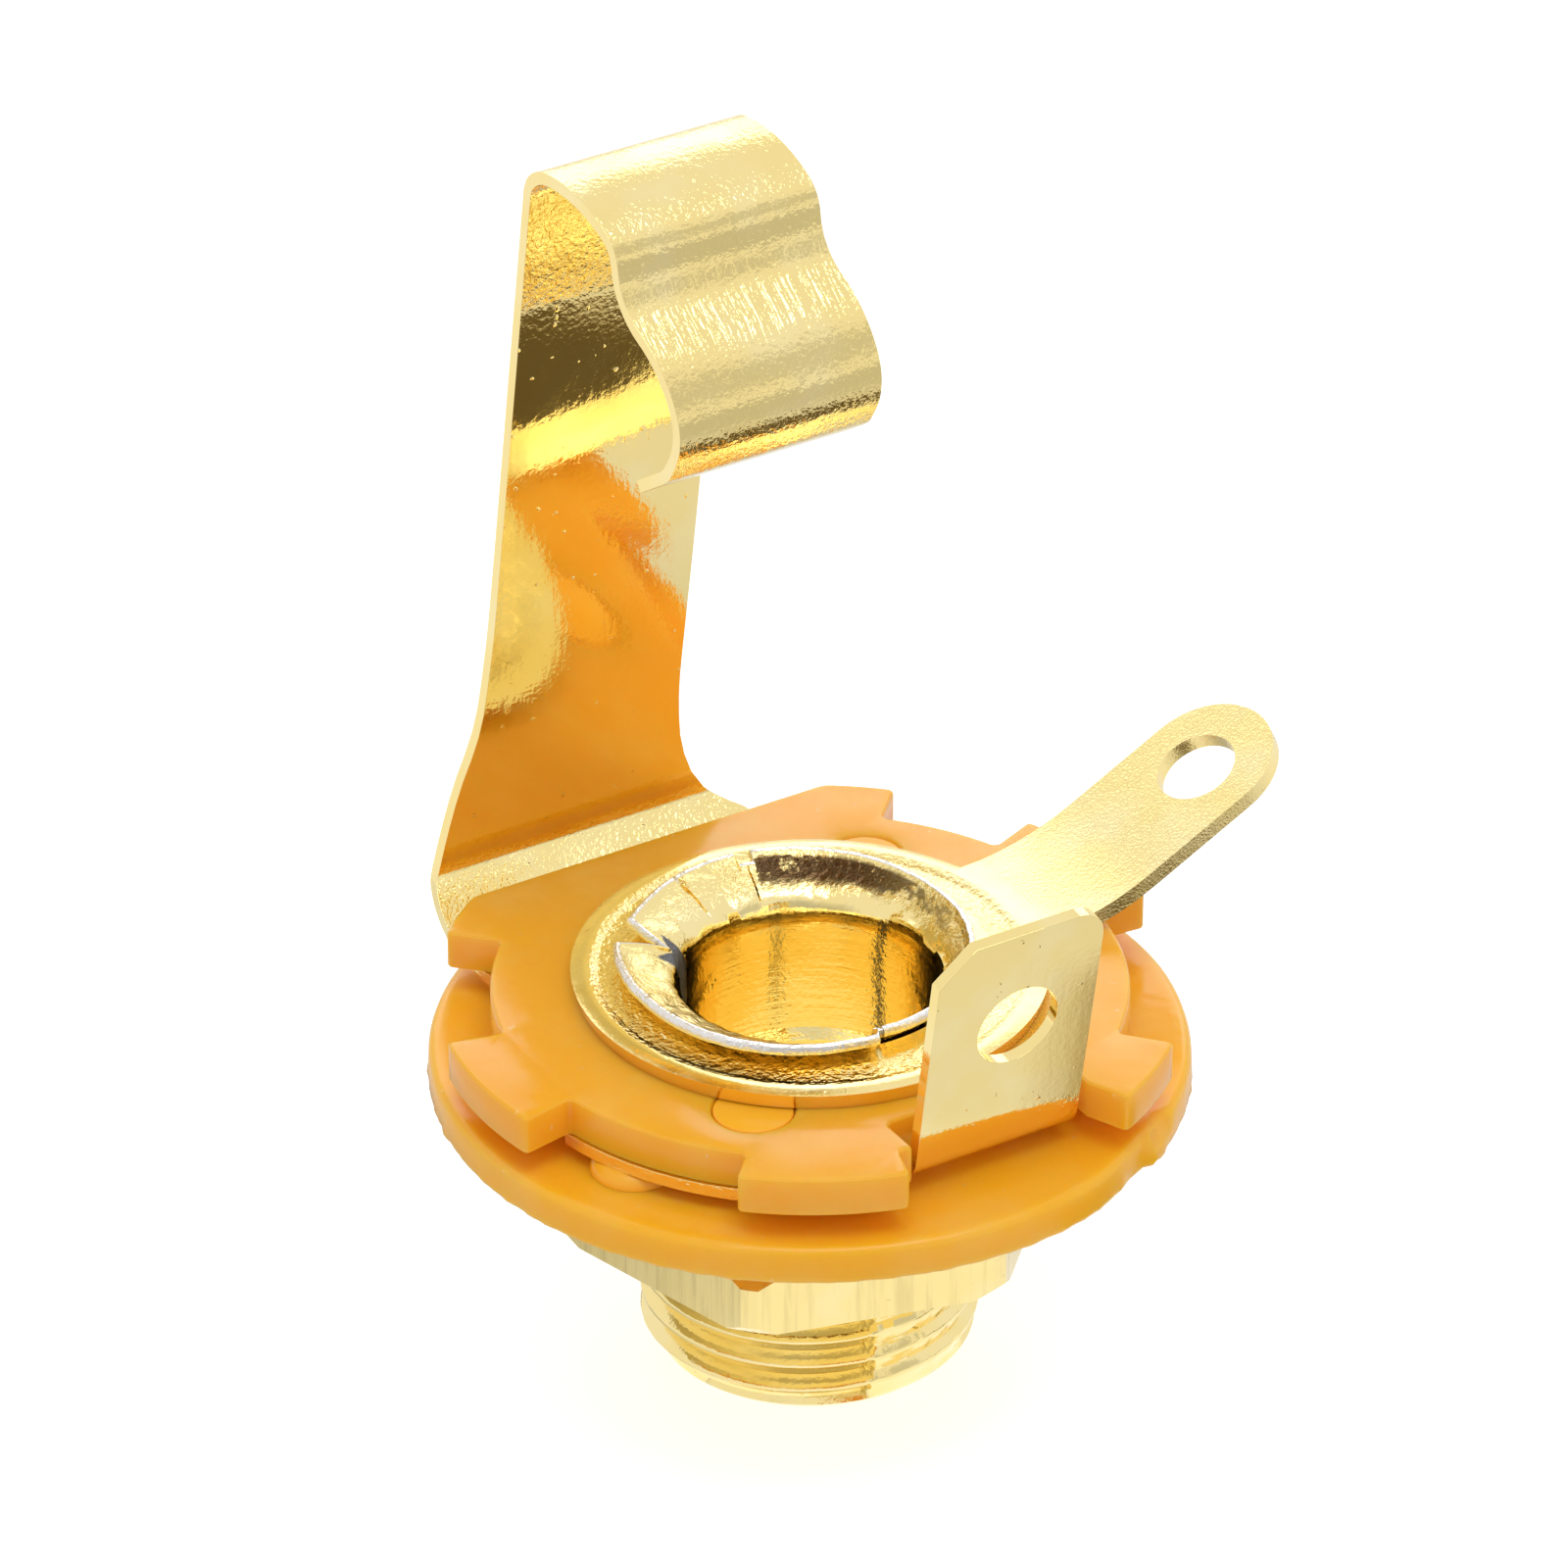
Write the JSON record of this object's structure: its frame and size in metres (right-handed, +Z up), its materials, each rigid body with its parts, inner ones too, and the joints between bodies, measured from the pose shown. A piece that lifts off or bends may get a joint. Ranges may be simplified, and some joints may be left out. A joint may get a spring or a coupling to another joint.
{
  "type": "panel mount jack socket",
  "caption": "Open-frame 6.35 mm mono jack socket: threaded bushing with hex nut, clamped insulating disc and wafer, folded tip contact with catch and solder tab, and a sleeve lug.",
  "frame": {"origin": "centre of the bushing's front face, on the axis of the plug bore; the part stands on this face", "axes": "+Z runs up the bore away from the plug, +Y towards the tip spring, +X towards the sleeve lug"},
  "size_m": [0.0242, 0.02, 0.032],
  "materials": {
    "bushing_gold": "turned brass, gold-plated, polished",
    "nut_gold": "brass, gold-plated, faces with upright milling marks",
    "contact_gold": "spring brass sheet, gold-plated, bright",
    "lug_gold": "brass sheet, gold-plated, finely grained",
    "disc_plastic": "slightly translucent orange plastic",
    "wafer_plastic": "slightly translucent orange plastic"
  },
  "bodies": {
    "socket": {"bushing": "bushing_gold", "lower_disc": "disc_plastic", "tip_contact": "contact_gold", "upper_wafer": "wafer_plastic", "sleeve_lug": "lug_gold"},
    "nut": {"hex_nut": "nut_gold"}
  },
  "joints": [
    {"name": "nut_travel", "type": "slide", "parent": "socket", "child": "nut", "axis": [0, 0, -1], "range_m": [0, 0.004]}
  ]
}
